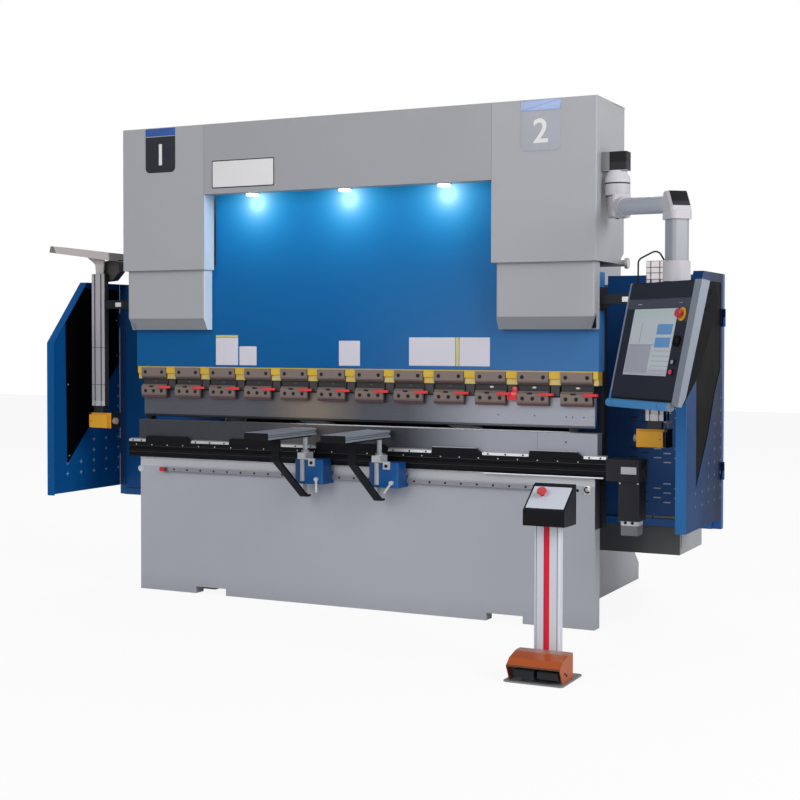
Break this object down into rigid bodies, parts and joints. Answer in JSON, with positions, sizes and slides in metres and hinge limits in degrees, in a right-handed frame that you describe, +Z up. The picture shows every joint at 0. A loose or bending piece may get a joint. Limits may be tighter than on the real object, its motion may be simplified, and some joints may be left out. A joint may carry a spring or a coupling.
{
  "type": "press brake",
  "caption": "Hydraulic press brake with a blue ram, grey head and bed, quick tool clamps, two sheet supports, side guards, a swinging control pendant and a foot pedal stand.",
  "frame": {"origin": "floor level under the middle of the bed plate, on the bending line", "axes": "+X to the right seen from the operator, +Y to the back of the machine, +Z up"},
  "size_m": [3.7302, 2.548, 2.364],
  "materials": {
    "grey_paint": "satin",
    "blue_paint": "satin",
    "black_paint": "satin",
    "charcoal_paint": "satin",
    "ground_steel": "brushed",
    "clamp_steel": "satin",
    "aluminium": "satin",
    "white_plastic": "matte",
    "black_plastic": "matte",
    "red_plastic": "gloss",
    "yellow_paint": "satin",
    "orange_paint": "satin",
    "brass": "satin",
    "lamp_lens": "matte",
    "dark_glass": "gloss",
    "screen_glass": "gloss"
  },
  "bodies": {
    "machine": {"arm_bracket": "black_paint", "back_gauge": "charcoal_paint", "bed_plate": "grey_paint", "control_cabinet": "grey_paint", "crowning_drive": "charcoal_paint", "cylinders": "grey_paint", "die": "ground_steel", "die_clamps": "aluminium", "guard_backs": "blue_paint", "head_cover_left": "grey_paint", "head_cover_right": "grey_paint", "head_lamps": "lamp_lens", "header": "grey_paint", "lifting_trunnions": "ground_steel", "oil_tank": "grey_paint", "pedal_hood": "orange_paint", "scale_carriers": "charcoal_paint", "side_frames": "grey_paint", "stand_column": "grey_paint", "stand_console": "black_plastic", "support_rail": "ground_steel", "table_beam": "black_paint"},
    "ram": {"ram_plate": "blue_paint", "piston_rods": "ground_steel", "tool_clamps": "clamp_steel", "clamp_levers": "red_plastic", "wedge_strips": "brass", "punch": "ground_steel", "ram_cover_right": "grey_paint", "ram_cover_left": "grey_paint", "sensor_arms": "black_paint", "sensor_posts": "aluminium", "sensor_heads": "yellow_paint", "post_tray": "grey_paint", "sensor_cable": "black_plastic"},
    "support_left": {"support_block_left": "blue_paint", "support_clip_left": "ground_steel"},
    "support_head_left": {"support_arm_left": "aluminium", "support_brace_left": "black_paint"},
    "guard_left": {"guard_door_left": "blue_paint", "guard_window_left": "dark_glass"},
    "pedal_left": {"pedal_left": "black_plastic"},
    "support_right": {"support_block_right": "blue_paint", "support_clip_right": "ground_steel"},
    "support_head_right": {"support_arm_right": "aluminium", "support_brace_right": "black_paint"},
    "guard_right": {"guard_door_right": "blue_paint", "guard_window_right": "dark_glass"},
    "pedal_right": {"pedal_right": "black_plastic"},
    "arm": {"arm_castings": "white_plastic", "arm_tubes": "aluminium"},
    "pendant": {"pendant_case": "black_plastic", "pendant_frame": "aluminium", "pendant_panel": "black_plastic", "pendant_screen": "screen_glass", "pendant_neck": "white_plastic"},
    "pendant_button": {"pendant_stop": "red_plastic"},
    "stand_button": {"stand_stop": "red_plastic"}
  },
  "joints": [
    {"name": "ram_lift", "type": "slide", "parent": "machine", "child": "ram", "axis": [0, 0, 1], "range_m": [-0.01, 0.14]},
    {"name": "support_slide_left", "type": "slide", "parent": "machine", "child": "support_left", "axis": [1, 0, 0], "range_m": [-0.8, 0.09]},
    {"name": "support_slide_right", "type": "slide", "parent": "machine", "child": "support_right", "axis": [1, 0, 0], "range_m": [-0.09, 0.6]},
    {"name": "support_lift_left", "type": "slide", "parent": "support_left", "child": "support_head_left", "axis": [0, 0, 1], "range_m": [-0.04, 0.03]},
    {"name": "support_lift_right", "type": "slide", "parent": "support_right", "child": "support_head_right", "axis": [0, 0, 1], "range_m": [-0.04, 0.03]},
    {"name": "arm_swing", "type": "hinge", "parent": "machine", "child": "arm", "pos_m": [1.33, -0.043, 1.984], "axis": [0, 0, 1], "range_deg": [-45, 5]},
    {"name": "pendant_swing", "type": "hinge", "parent": "arm", "child": "pendant", "pos_m": [1.735, -0.555, 1.612], "axis": [0, 0, 1], "range_deg": [-35, 60]},
    {"name": "guard_hinge_right", "type": "hinge", "parent": "machine", "child": "guard_right", "pos_m": [1.698, 0.403, 1], "axis": [0, 0, 1], "range_deg": [0, 90]},
    {"name": "guard_hinge_left", "type": "hinge", "parent": "machine", "child": "guard_left", "pos_m": [-1.698, 0.403, 1], "axis": [0, 0, -1], "range_deg": [0, 90]},
    {"name": "pedal_press_left", "type": "hinge", "parent": "machine", "child": "pedal_left", "pos_m": [1.308, -1, 0.032], "axis": [1, 0, 0], "range_deg": [0, 5], "stiffness_Nm_per_rad": 6, "springref_deg": -11.46},
    {"name": "pedal_press_right", "type": "hinge", "parent": "machine", "child": "pedal_right", "pos_m": [1.403, -1, 0.032], "axis": [1, 0, 0], "range_deg": [0, 5], "stiffness_Nm_per_rad": 6, "springref_deg": -11.46},
    {"name": "stand_stop_press", "type": "slide", "parent": "machine", "child": "stand_button", "axis": [0, 0.5825, -0.8128], "range_m": [0, 0.006], "stiffness_N_per_m": 1500, "springref_m": -0.004},
    {"name": "pendant_stop_press", "type": "slide", "parent": "pendant", "child": "pendant_button", "axis": [0.6758, 0.7072, -0.2079], "range_m": [0, 0.006], "stiffness_N_per_m": 1500, "springref_m": -0.004}
  ]
}
